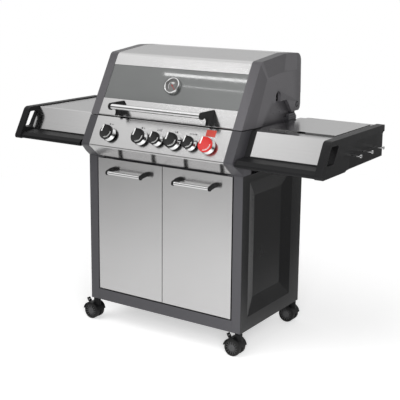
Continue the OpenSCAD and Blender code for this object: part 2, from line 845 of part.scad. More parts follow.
module lid_cheek() {
    side_in = side_x - cheek_t;
    lower = concat(lid_corners(), [
        [lid_rear - 7, seam_z + 99, 1], [lid_rear - 7, hinge_z, 10], [hinge_y + 16, seam_z + hinge_edge, 10],
        [hinge_y - 43, seam_z + hinge_edge, 3], [notch_back, tab_top + 4, 4], [notch_front, tab_top, 6],
        [notch_front - notch_ramp + 6, seam_z + seam_gap / 2, 2]]);
    shell = 4;
    difference() {
        union() {
            intersection() {
                along_x(side_in, side_x) polygon(rounded(lower));
                cheek_form();
            }
            along_x(panel_half, side_in + 1) polygon(folded_lid(0, shell));
        }
        translate([0, spit_y, 0]) along_x(side_in - 1, side_x + 1) {
            translate([-spit_r, tab_top - 10]) square([2 * spit_r, spit_rise + 10]);
            translate([0, tab_top + spit_rise]) circle(r = spit_r);
        }
        rod([side_in - 1, hinge_y, hinge_z], [side_x + 1, hinge_y, hinge_z], hinge_r + run);
        rod([side_x - hinge_seat, hinge_y, hinge_z], [side_x + 1, hinge_y, hinge_z], hinge_seat_r);
    }
}

// Strip of the lid's outline from its front foot to its rear edge, depth d0 to d1 inside
function folded_lid(d0, d1) = let (path = bent(lid_corners(), 6))
    concat(shifted(path, -d0), reversed(shifted(path, -d1)));

module lid_cheeks() {
    color(anthracite) both_sides() lid_cheek();
}

// Roof: the lip above the window, the top and the rear face
module lid_roof() {
    start = slope_point(window_high);
    c = lid_corners();
    path = bent(concat([[start[0], start[1], 0]], [for (i = [1 : len(c) - 1]) c[i]]), 8);
    color(steel) along_x(-panel_half + fit, panel_half - fit)
        polygon(concat(path, reversed(shifted(path, -sheet))));
}

glass_gap = 0.4;

module lid_window() {
    lap = 9;
    color([0.4, 0.42, 0.42, 0.6]) on_slope() difference() {
        translate([-panel_half + fit, window_low - lap, -sheet - glass_gap - glass_t])
            cube([2 * panel_half - 2 * fit, window_high - window_low + 2 * lap, glass_t]);
        translate([0, thermo_s, -20]) cylinder(r = thermo_stem_r + 0.5, h = 40);
    }
}

// Band below the window: a sheet with a turned-in foot
module lid_band() {
    top = slope_point(window_low);
    foot = slope_point(seam_gap / 2);
    path = bent([[top[0], top[1], 0], [foot[0], foot[1], 3], [foot[0] + 26, foot[1], 0]]);
    color(steel) along_x(-panel_half + fit, panel_half - fit) polygon(folded(path, sheet));
}

lid_bar_z = seam_z + lid_bar_rise;
// How far the lid handle's tube goes into its bracket, and the wall behind the tube's end
lid_bar_grip = 5;
lid_bar_end_t = 5;
lid_bar_y = lid_bar_rise / tan(slope) - lid_bar_off / sin(slope);

module lid_handle_tube() {
    color(chrome) rod([-lid_bar_len / 2, lid_bar_y, lid_bar_z], [lid_bar_len / 2, lid_bar_y, lid_bar_z],
        lid_bar_d / 2);
}

// Bracket of the lid handle: a collar around the tube's end, a level arm, and a leg down the band
module lid_bracket(x0, x1) {
    r = lid_bar_d / 2;
    collar = r + 3;
    arm = 24;
    leg = 26;
    foot = 9;
    top = lid_bar_rise + collar;
    function band_y(z) = z / tan(slope);
    outline = rounded([[lid_bar_y, seam_z + top, 0], [lid_bar_y, seam_z + top - arm, 0],
        [band_y(top - arm) - leg, seam_z + top - arm, 16], [band_y(foot) - leg, seam_z + foot, 2],
        [band_y(foot), seam_z + foot, 0], [band_y(top), seam_z + top, 0]]);
    difference() {
        along_x(x0, x1) union() {
            translate([lid_bar_y, lid_bar_z]) circle(r = collar);
            polygon(outline);
        }
        along_x(x0 - 1, x1 - lid_bar_end_t) translate([lid_bar_y, lid_bar_z]) circle(r = r + run);
    }
}

module lid_handle_brackets() {
    reach = lid_bar_len / 2;
    color(black) both_sides() lid_bracket(reach - lid_bar_grip, reach + lid_bar_end_t + fit);
}

thermo_s = (window_low + window_high) / 2;
thermo_stem_r = 6;
thermo_h = 15;
dial_z = 6;

module thermometer_case() {
    color(chrome) on_slope(0, thermo_s, 0) difference() {
        union() {
            translate([0, 0, -sheet]) cylinder(r = thermo_r, h = thermo_h + sheet);
            translate([0, 0, -30]) cylinder(r = thermo_stem_r, h = 32);
        }
        translate([0, 0, dial_z]) cylinder(r = thermo_r - 4, h = thermo_h);
    }
}

module thermometer_dial() {
    color("white") on_slope(0, thermo_s, dial_z + fit) difference() {
        cylinder(r = thermo_r - 4 - fit, h = 2);
        translate([0, 0, -1]) cylinder(r = 1 + run, h = 4);
    }
}

module thermometer_needle() {
    color("red") on_slope(0, thermo_s, dial_z + 2 + 2 * fit) {
        cylinder(r = 3, h = 1.6);
        translate([0, 0, -1.8]) cylinder(r = 1, h = 2);
        rotate([0, 0, 225]) translate([-1, -6, 0]) cube([2, thermo_r - 6, 1.2]);
    }
}

// ---- shelves ----
sheet_top = shelf_z - rim;
shelf_in = side_x + 1;
shelf_out = shelf_reach - cap_w;
cap_bottom = shelf_z - cap_h;
shelf_back = cart_d - 8;
rail_top = sheet_top - 91;

// Point of the shelves' own slope at height z
function shelf_slope_y(z) = setback + (z - seam_z) / tan(slope);

inner_end_w = 25;
// Tab of a shelf's sheet that goes into the end cap: its width, and its step down
tab_w = 6;
tab_step = 0.4;

module shelf_sheet() {
    y0 = shelf_slope_y(rail_top);
    path = bent([[y0 + 14, rail_top, 0], [y0, rail_top, 2], [shelf_slope_y(sheet_top), sheet_top, 4],
        [shelf_back, sheet_top, 3], [shelf_back, sheet_top - 36, 0]]);
    along_x(shelf_in + inner_end_w, shelf_out - fit) polygon(concat(path, reversed(shifted(path, -sheet))));
    box([shelf_in, setback + 12, sheet_top - sheet], [shelf_out - fit, shelf_back - 22, sheet_top]);
    box([shelf_out - 2 * tab_w, setback + 12, sheet_top - sheet - tab_step],
        [shelf_out + tab_w, shelf_back - 22, sheet_top - tab_step]);
}

module left_shelf() {
    color(steel) mirror([1, 0, 0]) shelf_sheet();
}

burner_x = (shelf_in + shelf_out) / 2 + 15;
pan_margin = 10;
burner_hinge_z = sheet_top + 3.2;
// The lid's hinge stands this far in front of the shelf's rear edge, and this far behind the lid
burner_hinge_inset = 38.7;
burner_hinge_gap = 5;
burner_hinge_y = shelf_back - burner_hinge_inset;
burner_y = burner_hinge_y - burner_hinge_gap - burner_lid_d / 2;
knuckle_r = 2.8;
knuckle_w = 30;
burner_pin_r = 1.3;
knuckle_x = [burner_x - burner_lid_w / 2 + 20, burner_x + burner_lid_w / 2 - 20 - knuckle_w];

module right_shelf() {
    w = burner_lid_w / 2 - pan_margin;
    d = burner_lid_d / 2 - pan_margin;
    color(steel) {
        difference() {
            shelf_sheet();
            box([burner_x - w, burner_y - d, sheet_top - 10], [burner_x + w, burner_y + d, sheet_top + 10]);
        }
        for (x = knuckle_x) translate([x, burner_hinge_y, 0]) {
            for (e = [-4 - fit, knuckle_w + fit])
                box([e, -knuckle_r, sheet_top], [e + 4, knuckle_r, burner_hinge_z + 2.5]);
            rod([-2, 0, burner_hinge_z], [knuckle_w + 2, 0, burner_hinge_z], burner_pin_r);
        }
    }
}

// Outline of an end cap, seen from the side
function cap_outline() = let (proud = 6, top = slope_point(shelf_z - seam_z, 0)) rounded([
    [-proud + (shelf_z - seam_z) / tan(slope), shelf_z, 24],
    [-proud - (cap_h - 14) / tan(slope), cap_bottom + 14, 8],
    [-proud - (cap_h - 16) / tan(slope), cap_bottom, 8],
    [118, cap_bottom, 3], [132, cap_bottom + 5, 3], [cart_d - 18, cap_bottom + 7, 3],
    [cart_d - 18, shelf_z - 34, 3], [cart_d - 6, shelf_z - 25, 3], [cart_d - 6, shelf_z, 6]]);

// Hand hole behind the cap's front grip
function hand_hole() = let (z0 = cap_bottom + 46, z1 = shelf_z - 20, web = 12 / sin(slope),
    y0 = -6 + (z0 - shelf_z) / tan(slope) + web, y1 = -6 + (z1 - shelf_z) / tan(slope) + web)
    rounded([[y0, z0, 5], [y0 + 56, z0, 6], [y1 + 62, z1, 6], [y1, z1, 6]]);

// Wall of an end cap, and depth of the stepped-in field on its outer face
cap_wall = 5;
cap_step = 2;

// Field below the rim of an end cap's outer face
function cap_field() = let (back = cart_d + 1, low = cap_bottom - 1, high = shelf_z - 27)
    rounded([[213, high, 3], [174, high - 23, 3], [154, high - 41, 3], [146, low, 0],
        [back, low, 0], [back, high, 0]]);

module end_cap() {
    x = shelf_reach - cap_wall;
    z = sheet_top - tab_step + fit;
    difference() {
        along_x(shelf_out, shelf_reach) polygon(cap_outline());
        along_x(shelf_out - 1, shelf_reach + 1) polygon(hand_hole());
        box([shelf_out - 1, 100, cap_bottom + 12], [x, cart_d - 24, z]);
        box([shelf_out - 1, setback + 10, sheet_top - 10], [x, 110, z]);
        along_x(shelf_reach - cap_step, shelf_reach + 1) polygon(cap_field());
    }
}

// End piece that carries a shelf's inner edge on the side of the body
module inner_end() {
    low = shelf_slope_y(rail_top) + 1;
    high = shelf_slope_y(sheet_top) + 1;
    back = shelf_back - 22;
    wall = 3;
    z0 = cap_bottom + 20;
    z1 = sheet_top - sheet;
    difference() {
        along_x(side_x + fit, shelf_in + inner_end_w - fit)
            polygon([[low, rail_top - 2], [high, z1], [back, z1], [back, z0], [low + 30, z0]]);
        along_x(side_x + fit + wall, shelf_in + inner_end_w + 1)
            polygon([[low + 3 * wall, rail_top - 2], [high + 2 * wall, z1 - wall], [back - wall, z1 - wall],
                [back - wall, z0 + wall], [low + 30 + wall, z0 + wall]]);
    }
}

module shelf_end_caps() {
    color(black) both_sides() {
        end_cap();
        inner_end();
    }
}

// Front rail of a shelf: a hollow bar between the body and the end cap
module shelf_front_rails() {
    y1 = shelf_slope_y(rail_top);
    z1 = rail_top - sheet - fit;
    y0 = -6 - (cap_h - 20) / tan(slope);
    w = 3;
    color(black) both_sides() difference() {
        along_x(side_x + fit, shelf_out) polygon(rounded([[y1, z1, 0], [y0 + 16, z1 - 6, 6],
            [y0 + 3, z1 - 18, 6], [y0 + 1, cap_bottom + 4, 5], [y0 + 10, cap_bottom + 1, 4],
            [y1, cap_bottom + 1, 0]]));
        along_x(side_x, shelf_out - w) polygon([[y1 - w, z1 - w], [y0 + 16, z1 - 6 - w],
            [y0 + 3 + w, z1 - 20], [y0 + 1 + w, cap_bottom + 4 + w], [y1 - w, cap_bottom + 1 + w]]);
    }
}

// First tool hook: its drop below the shelf's top, and its place from front to back
hook_drop = 75;
hook_y = 169;
hook_head = 4;

module tool_hooks() {
    color(chrome) for (h = [0 : 2])
        translate([shelf_reach - cap_step, hook_y + h * hook_pitch, shelf_z - hook_drop]) rotate([0, 90, 0]) {
            cylinder(r = hook_r, h = hook_len + cap_step);
            translate([0, 0, hook_len + cap_step - hook_head]) cylinder(r = hook_r + 3.5, h = hook_head);
        }
}

// Side burner: a pan in the shelf, a ring burner and a pot support
module side_burner() {
    w = burner_lid_w / 2 - pan_margin - fit;
    d = burner_lid_d / 2 - pan_margin - fit;
    z0 = sheet_top - pan_depth;
    z1 = sheet_top - 4;
    color([0.3, 0.3, 0.3]) translate([burner_x, burner_y, 0]) {
        difference() {
            box([-w, -d, z0], [w, d, sheet_top]);
            box([-w + sheet, -d + sheet, z0 + sheet], [w - sheet, d - sheet, sheet_top + 1]);
        }
        translate([0, 0, z0 + sheet]) {
            cylinder(r = 30, h = 8);
            cylinder(r = 46, h = 6);
            translate([0, 0, 6]) cylinder(r = 40, h = 12);
        }
        for (a = [0 : 90 : 270]) rotate([0, 0, a]) {
            translate([24, -3, z1 - 10]) cube([76, 6, 10]);
            translate([92, -3, z0 + sheet]) cube([8, 6, z1 - z0 - sheet]);
        }
    }
}

// Lid of the side burner: a shallow tray with a thumb notch and two hinge knuckles
module side_burner_lid() {
    w = burner_lid_w / 2;
    d = burner_lid_d / 2;
    z1 = sheet_top + 5.5;
    color(steel) difference() {
        union() {
            translate([burner_x, burner_y, 0]) {
                difference() {
                    box([-w, -d, sheet_top + fit], [w, d, z1]);
                    box([-w + sheet, -d + sheet, sheet_top], [w - sheet, d - sheet, z1 - sheet]);
                    box([-16, -d - 1, sheet_top], [16, -d + 8, z1 + 1]);
                }
            }
            for (x = knuckle_x) translate([x, burner_hinge_y, burner_hinge_z]) {
                rod([0, 0, 0], [knuckle_w, 0, 0], knuckle_r);
                box([0, -burner_hinge_gap - 1, -0.5], [knuckle_w, 0, 1.5]);
            }
        }
        for (x = knuckle_x) translate([x, burner_hinge_y, burner_hinge_z])
            rod([-1, 0, 0], [knuckle_w + 1, 0, 0], burner_pin_r + run);
    }
}

// ---- casters ----
axle_r = 4;
wheel_r = wheel_d / 2;
hood_t = 3;
hood_r = wheel_r + hood_gap + hood_t;
brake_angle = 55;
brake_len = 9;
brake_pin_r = 2;
brake_off = hood_r + 5;
lug_half = wheel_web / 2 - 1;

module caster_at(side, rear) {
    translate([side * caster_x, rear ? cart_d - caster_inset : caster_inset, 0]) children();
}

// Cylinder along Y, centred on the wheels' axle
module on_axle(r, y0, y1) {
    translate([-trail, y1, wheel_r]) rotate([90, 0, 0]) cylinder(r = r, h = y1 - y0);
}

// Housing: a hood over the two wheels, a web that holds the axle, and the swivel stem
module caster(braked) {
    inner = lug_half;
    color(black) {
        difference() {
            union() {
                on_axle(hood_r, -hood_half, hood_half);
                translate([0, 0, wheel_r]) cylinder(r = 15, h = cart_bottom - wheel_r - 6);
            }
            for (y = [-hood_half - 1, inner]) on_axle(wheel_r + hood_gap, y, y + hood_half + 1 - inner);
            box([-trail - 60, -60, -10], [trail + 60, 60, wheel_r + 6]);
        }
        difference() {
            union() {
                on_axle(wheel_r - 6, -inner, inner);
                box([-14, -inner, wheel_r + 10], [14, inner, wheel_r + 30]);
            }
            on_axle(axle_r + run, -20, 20);
        }
        if (braked) at_brake() difference() {
            box([hood_r - brake_off - 2, -lug_half, -3], [3.5, lug_half, 3]);
            translate([0, 20, 0]) rotate([90, 0, 0]) cylinder(r = brake_pin_r + run, h = 40);
        }
    }
    color(chrome) translate([0, 0, cart_bottom - 8]) cylinder(r = stem_r, h = 8 + foot_plate - 1);
}

// Frame of a brake's pin: X points away from the axle, Y along the pin
module at_brake() {
    translate([-trail, 0, wheel_r]) rotate([0, 180 + brake_angle, 0]) translate([brake_off, 0, 0]) children();
}

// Brake pedal: two cheeks on a pin, and a plate to step on
module brake() {
    cheek = lug_half + fit;
    cheek_w = 3;
    color(black) at_brake() {
        both_cheeks(cheek, cheek + cheek_w);
        box([5.2, -cheek - cheek_w, -2.5], [5.2 + brake_len, cheek + cheek_w, 1.5]);
        translate([0, cheek + 1, 0]) rotate([90, 0, 0]) cylinder(r = brake_pin_r, h = 2 * cheek + 2);
    }
}

module both_cheeks(y0, y1) {
    for (m = [0, 1]) mirror([0, m, 0]) box([-3.5, y0, -2.5], [6, y1, 2.5]);
}

// Twin wheels on their axle
module wheels() {
    outer = wheel_web / 2 + 0.5;
    color("gray") on_axle(axle_r, -outer - 1, outer + 1);
    color(black) for (m = [0, 1]) mirror([0, m, 0]) difference() {
        on_axle(wheel_r, outer, outer + wheel_w);
        difference() {
            on_axle(wheel_r - 6, outer + wheel_w - 6, outer + wheel_w + 1);
            on_axle(12, outer + wheel_w - 7, outer + wheel_w + 2);
        }
    }
}

module left_front_caster() { caster_at(-1, false) caster(true); }
module right_front_caster() { caster_at(1, false) caster(true); }
module left_rear_caster() { caster_at(-1, true) caster(false); }
module right_rear_caster() { caster_at(1, true) caster(false); }
module left_front_wheels() { caster_at(-1, false) wheels(); }
module right_front_wheels() { caster_at(1, false) wheels(); }
module left_rear_wheels() { caster_at(-1, true) wheels(); }
module right_rear_wheels() { caster_at(1, true) wheels(); }
module left_front_brake() { caster_at(-1, false) brake(); }
module right_front_brake() { caster_at(1, false) brake(); }

placed() cart_frame();
placed() cart_base();
placed() side_panels();
placed() back_panel();
placed() door_hinge_pins();
placed() left_door();
placed() right_door();
placed() left_door_handle_tube();
placed() right_door_handle_tube();
placed() left_door_handle_brackets();
placed() right_door_handle_brackets();
placed() control_panel();
placed() panel_cheeks();
placed() knob_bezels();
placed() gas_manifold();
placed() spindle_1();
placed() spindle_2();
placed() spindle_3();
placed() spindle_4();
placed() spindle_5();
placed() spindle_6();
placed() knob_1();
placed() knob_2();
placed() knob_3();
placed() knob_4();
placed() knob_5();
placed() knob_6();
placed() firebox();
placed() burners();
placed() flame_tamers();
placed() cooking_grates();
placed() warming_rack();
placed() grease_tray();
placed() hinge_brackets();
placed() lid_cheeks();
placed() lid_roof();
placed() lid_window();
placed() lid_band();
placed() lid_handle_tube();
placed() lid_handle_brackets();
placed() thermometer_case();
placed() thermometer_dial();
placed() thermometer_needle();
placed() left_shelf();
placed() right_shelf();
placed() shelf_end_caps();
placed() shelf_front_rails();
placed() tool_hooks();
placed() side_burner();
placed() side_burner_lid();
placed() left_front_caster();
placed() right_front_caster();
placed() left_rear_caster();
placed() right_rear_caster();
placed() left_front_wheels();
placed() right_front_wheels();
placed() left_rear_wheels();
placed() right_rear_wheels();
placed() left_front_brake();
placed() right_front_brake();
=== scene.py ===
"""Looks of the gas barbecue grill: finishes, small pieces, light and camera."""
import bpy
import json
import math
from mathutils import Matrix, Vector


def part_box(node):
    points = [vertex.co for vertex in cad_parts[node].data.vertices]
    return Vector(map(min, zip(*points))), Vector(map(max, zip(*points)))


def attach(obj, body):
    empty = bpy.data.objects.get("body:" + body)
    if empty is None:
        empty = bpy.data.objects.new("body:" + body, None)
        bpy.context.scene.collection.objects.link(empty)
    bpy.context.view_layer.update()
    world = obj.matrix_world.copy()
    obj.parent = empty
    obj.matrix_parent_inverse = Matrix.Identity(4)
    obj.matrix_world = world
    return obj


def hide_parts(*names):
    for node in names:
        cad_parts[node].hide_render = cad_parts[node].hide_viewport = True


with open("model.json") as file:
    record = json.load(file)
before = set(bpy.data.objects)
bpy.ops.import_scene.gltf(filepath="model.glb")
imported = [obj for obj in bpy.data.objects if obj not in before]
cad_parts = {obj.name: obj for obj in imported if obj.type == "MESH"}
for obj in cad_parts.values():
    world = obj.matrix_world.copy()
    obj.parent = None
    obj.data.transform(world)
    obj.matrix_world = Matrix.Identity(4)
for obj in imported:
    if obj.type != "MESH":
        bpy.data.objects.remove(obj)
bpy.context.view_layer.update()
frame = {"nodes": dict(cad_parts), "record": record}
nodes = frame["nodes"]
MM = 0.001

# Sizes that the pieces below share with the model, in millimetres
SLOPE = math.radians(61)
SEAM_Z = 902
KNOB_ROW = 76
KNOB_X = [-240, -80, 0, 80, 160, 240]
SKIRT_R = [26, 26, 21, 26, 21, 26]
SKIRT_Z = 17.6
SKIRT_TOP = 23.5
THERMO_S = 154
CASTER_X = 360
CASTER_Y = {"front": 17, "rear": 467}
TRAIL = 17
WHEEL_R = 35
WHEEL_IN = 7.5
WHEEL_OUT = 26.5

# The model's middle plane and the cart's front plane, which all positions are measured from
middle_x = (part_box("lid_roof")[0][0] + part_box("lid_roof")[1][0]) / 2
front_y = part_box("left_door")[0][1]


def at(x, y, z):
    """Point in the scene from the model's own millimetres."""
    return Vector((middle_x + x * MM, front_y + y * MM, z * MM))


def slope_place(x, s):
    """Frame of the front slope in millimetres: X across, Y up from the seam, Z outward."""
    place = at(x, s * math.cos(SLOPE), SEAM_Z + s * math.sin(SLOPE))
    return Matrix.Translation(place) @ Matrix.Rotation(SLOPE, 4, "X") @ Matrix.Scale(MM, 4)


def upright_place(x, y, z):
    """Frame in millimetres with its axes along the scene's."""
    return Matrix.Translation(at(x, y, z)) @ Matrix.Scale(MM, 4)


# ---- shader nodes ----------------------------------------------------------------------------

def add_node(tree, kind, inputs=None, **settings):
    """Adds a node and sets or links its inputs, which are given by name or number."""
    node = tree.nodes.new(kind)
    for key, value in settings.items():
        setattr(node, key, value)
    for key, value in (inputs or {}).items():
        if isinstance(value, bpy.types.NodeSocket):
            tree.links.new(value, node.inputs[key])
        else:
            node.inputs[key].default_value = value
    return node


def noise(tree, scale, detail=3.0, roughness=0.5):
    """Noise fixed to the object, with a scale along each axis."""
    coords = add_node(tree, "ShaderNodeTexCoord").outputs["Object"]
    mapping = add_node(tree, "ShaderNodeMapping", {"Vector": coords, "Scale": scale})
    texture = add_node(tree, "ShaderNodeTexNoise", {
        "Vector": mapping.outputs["Vector"], "Scale": 1.0,
        "Detail": detail, "Roughness": roughness})
    return texture.outputs["Fac"]


def spread(tree, factor, low, high, start=0.3, end=0.7):
    """Level from low to high while the factor goes from start to end."""
    return add_node(tree, "ShaderNodeMapRange", {
        "Value": factor, "From Min": start, "From Max": end,
        "To Min": low, "To Max": high}).outputs["Result"]


def mix(tree, factor, a, b):
    """Level a where the factor is 0, and b where it is 1."""
    return add_node(tree, "ShaderNodeMix", {0: factor, 2: a, 3: b}, data_type="FLOAT").outputs[0]


def mix_colour(tree, factor, a, b):
    """Colour a where the factor is 0, and b where it is 1."""
    return add_node(tree, "ShaderNodeMix", {0: factor, 6: a, 7: b}, data_type="RGBA").outputs[2]


def add(tree, a, b):
    return add_node(tree, "ShaderNodeMath", {0: a, 1: b}, operation="ADD").outputs[0]


def times(tree, a, b):
    return add_node(tree, "ShaderNodeMath", {0: a, 1: b}, operation="MULTIPLY").outputs[0]


def profile(tree, value, points):
    """Level along a value: straight lines between (value, level) points."""
    total = points[0][1]
    for (start, low), (end, high) in zip(points, points[1:]):
        total = add(tree, total, spread(tree, value, 0.0, high - low, start, end))
    return total


# ---- materials -------------------------------------------------------------------------------

COAT_ROUGHNESS = 0.08
# Dust settles in clouds, and worn edges are a little paler than the paint
DUST = (0.35, 0.34, 0.33, 1)
WORN_SHARE = 1.8
WORN_LIFT = 0.03
# Brushing runs along X: noise scales of its lines, and of the shorter marks between them
BRUSH_LINES = (1.5, 700.0, 700.0)
BRUSH_MARKS = (14.0, 260.0, 260.0)
# Turn of the smeared reflections, as a share of a full turn from the brushing
SMEAR_TURN = 0.25
GLASS_IOR = 2.0


def new_material(name):
    material = bpy.data.materials.new(name)
    material.use_nodes = True
    tree = material.node_tree
    return material, tree, tree.nodes["Principled BSDF"]


def toned(colour, share, lift=0.0):
    """Colour made darker or paler, with its alpha."""
    return (*[min(1.0, c * share + lift) for c in colour], 1)


def relief(tree, shader, height, distance, strength=0.5):
    bump = add_node(tree, "ShaderNodeBump", {
        "Height": height, "Strength": strength, "Distance": distance})
    tree.links.new(bump.outputs["Normal"], shader.inputs["Normal"])


def brushed(name, colour, roughness, anisotropy):
    """Brushed sheet metal: fine lines along X, which smear reflections across them."""
    material, tree, shader = new_material(name)
    lines = noise(tree, BRUSH_LINES, 5.0, 0.65)
    clouds = noise(tree, (2.5, 4.0, 4.0), 2.0)
    marks = noise(tree, BRUSH_MARKS, 2.0)
    fine = mix_colour(tree, lines, toned(colour, 0.86), toned(colour, 1.1))
    marked = spread(tree, marks, 0.0, 0.08, 0.55, 0.75)
    shade = mix_colour(tree, marked, fine, toned(colour, 0.8))
    tree.links.new(shade, shader.inputs["Base Color"])
    total = add(tree, spread(tree, lines, roughness * 0.8, roughness * 1.2),
                spread(tree, clouds, -0.025, 0.025))
    tree.links.new(total, shader.inputs["Roughness"])
    shader.inputs["Metallic"].default_value = 1.0
    shader.inputs["Anisotropic"].default_value = anisotropy
    shader.inputs["Anisotropic Rotation"].default_value = SMEAR_TURN
    along = add_node(tree, "ShaderNodeVectorTransform", {"Vector": (1.0, 0.0, 0.0)},
                     vector_type="VECTOR", convert_from="OBJECT", convert_to="WORLD")
    tree.links.new(along.outputs["Vector"], shader.inputs["Tangent"])
    relief(tree, shader, lines, 0.00004, 0.25)
    return material


def painted(name, colour, roughness, speckle=0.12, grain=1400.0, depth=0.00003, metallic=0.0,
            coat=0.0, dust=0.0, edge=0.0, gloss=0.5):
    """Painted, moulded or plated surface: fine speckle, uneven gloss, relief, dust, worn edges."""
    material, tree, shader = new_material(name)
    fine = noise(tree, (grain,) * 3, 2.0)
    clouds = noise(tree, (7.0,) * 3, 4.0, 0.6)
    shade = mix_colour(tree, fine, toned(colour, 1 - speckle), toned(colour, 1 + speckle))
    if dust:
        shade = mix_colour(tree, spread(tree, clouds, 0.0, dust, 0.45, 0.8), shade, DUST)
    if edge:
        sharp = add_node(tree, "ShaderNodeNewGeometry").outputs["Pointiness"]
        shade = mix_colour(tree, spread(tree, sharp, 0.0, edge, 0.51, 0.56), shade,
                           toned(colour, WORN_SHARE, WORN_LIFT))
    tree.links.new(shade, shader.inputs["Base Color"])
    uneven = spread(tree, clouds, roughness * 0.88, roughness * 1.12)
    tree.links.new(uneven, shader.inputs["Roughness"])
    shader.inputs["Metallic"].default_value = metallic
    shader.inputs["Coat Weight"].default_value = coat
    shader.inputs["Coat Roughness"].default_value = COAT_ROUGHNESS
    shader.inputs["Specular IOR Level"].default_value = gloss
    relief(tree, shader, fine, depth)
    return material


def smoked_glass(name):
    """Tinted glass with a mirror film: mostly its own grey, with clear reflections."""
    material, tree, shader = new_material(name)
    clouds = noise(tree, (2.2, 5.0, 5.0), 2.0)
    wipes = noise(tree, (30.0, 8.0, 8.0), 5.0, 0.7)
    tint = mix_colour(tree, clouds, (0.05, 0.056, 0.055, 1), (0.12, 0.126, 0.123, 1))
    tree.links.new(tint, shader.inputs["Base Color"])
    tree.links.new(spread(tree, wipes, 0.015, 0.05), shader.inputs["Roughness"])
    shader.inputs["IOR"].default_value = GLASS_IOR
    relief(tree, shader, clouds, 0.0002, 0.1)
    return material


BRUSHED = {
    "stainless": dict(colour=(0.64, 0.635, 0.635), roughness=0.17, anisotropy=0.8),
    "plain_steel": dict(colour=(0.42, 0.42, 0.42), roughness=0.4, anisotropy=0.3),
}
PAINTED = {
    "grey_enamel": dict(colour=(0.043, 0.042, 0.047), roughness=0.32, dust=0.01, edge=0.5,
                        gloss=0.35),
    "cast_enamel": dict(colour=(0.072, 0.069, 0.075), roughness=0.36, grain=900.0,
                        depth=0.00006, dust=0.02, edge=0.5, gloss=0.4),
    "black_enamel": dict(colour=(0.01, 0.01, 0.0105), roughness=0.25, depth=0.00001, edge=0.3,
                         gloss=0.35),
    "black_plastic": dict(colour=(0.0075, 0.0075, 0.008), roughness=0.38, grain=1100.0,
                          depth=0.00008, dust=0.006, edge=0.4, gloss=0.14),
    "wheel_rubber": dict(colour=(0.012, 0.012, 0.012), roughness=0.55, grain=700.0,
                         depth=0.0001, dust=0.04, gloss=0.3),
    "wheel_grey": dict(colour=(0.075, 0.075, 0.077), roughness=0.45, grain=700.0,
                       depth=0.0001, dust=0.04, gloss=0.3),
    "chrome": dict(colour=(0.8, 0.8, 0.8), roughness=0.06, speckle=0.02, depth=0.000004,
                   metallic=1.0),
    "gloss_black": dict(colour=(0.009, 0.009, 0.009), roughness=0.14, depth=0.000008,
                        gloss=0.35),
    "gloss_red": dict(colour=(0.62, 0.014, 0.012), roughness=0.18, speckle=0.05,
                      depth=0.000008, coat=0.5),
    "iron": dict(colour=(0.03, 0.03, 0.03), roughness=0.6, grain=500.0, depth=0.0002,
                 dust=0.06, edge=0.4),
    "gas_rail": dict(colour=(0.4, 0.4, 0.4), roughness=0.4, metallic=1.0, grain=400.0,
                     depth=0.0001),
    "dial_white": dict(colour=(0.17, 0.168, 0.165), roughness=0.35, speckle=0.08),
    "needle_red": dict(colour=(0.4, 0.03, 0.02), roughness=0.35, speckle=0.04),
    # Pale arcs on the thermometer's dial, and the painted highlight on the knobs' rims
    "pale_print_and_painted_highlight": dict(colour=(0.7, 0.7, 0.69), roughness=0.3, speckle=0.04),
    "white_print": dict(colour=(0.92, 0.92, 0.91), roughness=0.3, speckle=0.02),
    "dark_print": dict(colour=(0.05, 0.05, 0.052), roughness=0.4, speckle=0.04),
    "tag_red": dict(colour=(0.6, 0.07, 0.05), roughness=0.35, speckle=0.05, grain=900.0,
                    depth=0.00002),
}
MATERIALS = {name: brushed(name, **look) for name, look in BRUSHED.items()}
MATERIALS |= {name: painted(name, **look) for name, look in PAINTED.items()}
MATERIALS["smoked_glass"] = smoked_glass("smoked_glass")

# ---- edges and finishes of the model's own nodes ---------------------------------------------

# Edges above the first angle stay sharp. Between faces that are both larger than the area, in
# square metres, edges above the second angle do too, so that a shallow fold in sheet metal shows.
SHARP_ANGLE = math.radians(36)
FOLD_ANGLE = math.radians(8)
LARGE_FACE = 0.004


def smooth_group():
    """Geometry nodes: smooth faces, with the edges above kept sharp."""
    group = bpy.data.node_groups.new("smooth_by_angle", "GeometryNodeTree")
    for way in ("INPUT", "OUTPUT"):
        group.interface.new_socket("Geometry", in_out=way, socket_type="NodeSocketGeometry")
    angle = add_node(group, "GeometryNodeInputMeshEdgeAngle").outputs["Unsigned Angle"]
    area = add_node(group, "GeometryNodeInputMeshFaceArea").outputs[0]
    areas = []
    for order in (0, 1):
        corner = add_node(group, "GeometryNodeCornersOfEdge", {"Sort Index": order})
        face = add_node(group, "GeometryNodeFaceOfCorner",
                        {"Corner Index": corner.outputs["Corner Index"]})
        areas.append(add_node(group, "GeometryNodeFieldAtIndex", {
            "Value": area, "Index": face.outputs["Face Index"]}, domain="FACE").outputs[0])
    smaller = add_node(group, "ShaderNodeMath", {0: areas[0], 1: areas[1]},
                       operation="MINIMUM").outputs[0]
    large = add_node(group, "ShaderNodeMath", {0: smaller, 1: LARGE_FACE},
                     operation="GREATER_THAN").outputs[0]
    limit = add_node(group, "ShaderNodeMapRange", {
        "Value": large, "To Min": SHARP_ANGLE, "To Max": FOLD_ANGLE}).outputs[0]
    flat = add_node(group, "ShaderNodeMath", {0: angle, 1: limit},
                    operation="LESS_THAN").outputs[0]
    source = add_node(group, "NodeGroupInput").outputs[0]
    faces = add_node(group, "GeometryNodeSetShadeSmooth", {"Geometry": source}).outputs[0]
    edges = add_node(group, "GeometryNodeSetShadeSmooth", {
        "Geometry": faces, "Shade Smooth": flat}, domain="EDGE").outputs[0]
    add_node(group, "NodeGroupOutput", {0: edges})
    return group


SMOOTH = smooth_group()
# Points nearer than this, in metres, are one, and faces within this angle are one flat face
WELD_DISTANCE = 1e-6
FLAT_ANGLE = math.radians(0.2)
BEVEL_ANGLE = math.radians(32)


